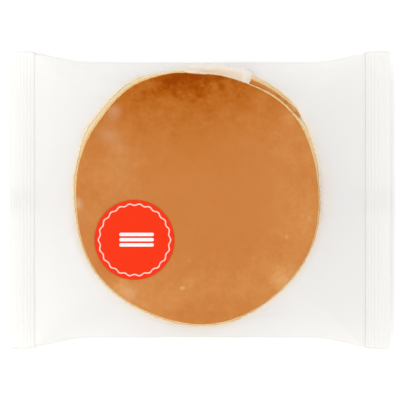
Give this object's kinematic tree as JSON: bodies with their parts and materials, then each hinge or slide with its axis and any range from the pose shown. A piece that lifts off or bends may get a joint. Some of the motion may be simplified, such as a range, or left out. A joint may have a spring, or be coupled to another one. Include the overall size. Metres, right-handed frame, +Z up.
{
  "type": "pack of pancakes",
  "caption": "Sealed clear film pack of stacked round pancakes, lying flat, with crimped end seals and a round red sticker on its upper film.",
  "frame": {"origin": "under the middle of the pack, on the surface that it lies on", "axes": "+X along the pack from end seal to end seal, +Z up through the stack, towards the side with the sticker"},
  "size_m": [0.182, 0.1424, 0.0193],
  "materials": {
    "film": "thin translucent film with a soft matte haze, clear where it touches the food",
    "sticker": "red paper sticker, smooth satin print with a white ring",
    "pancake": "browned pancake face with cream porous sides, soft and matte"
  },
  "bodies": {
    "root": {"film_pack": "film", "label": "sticker"}
  },
  "joints": []
}
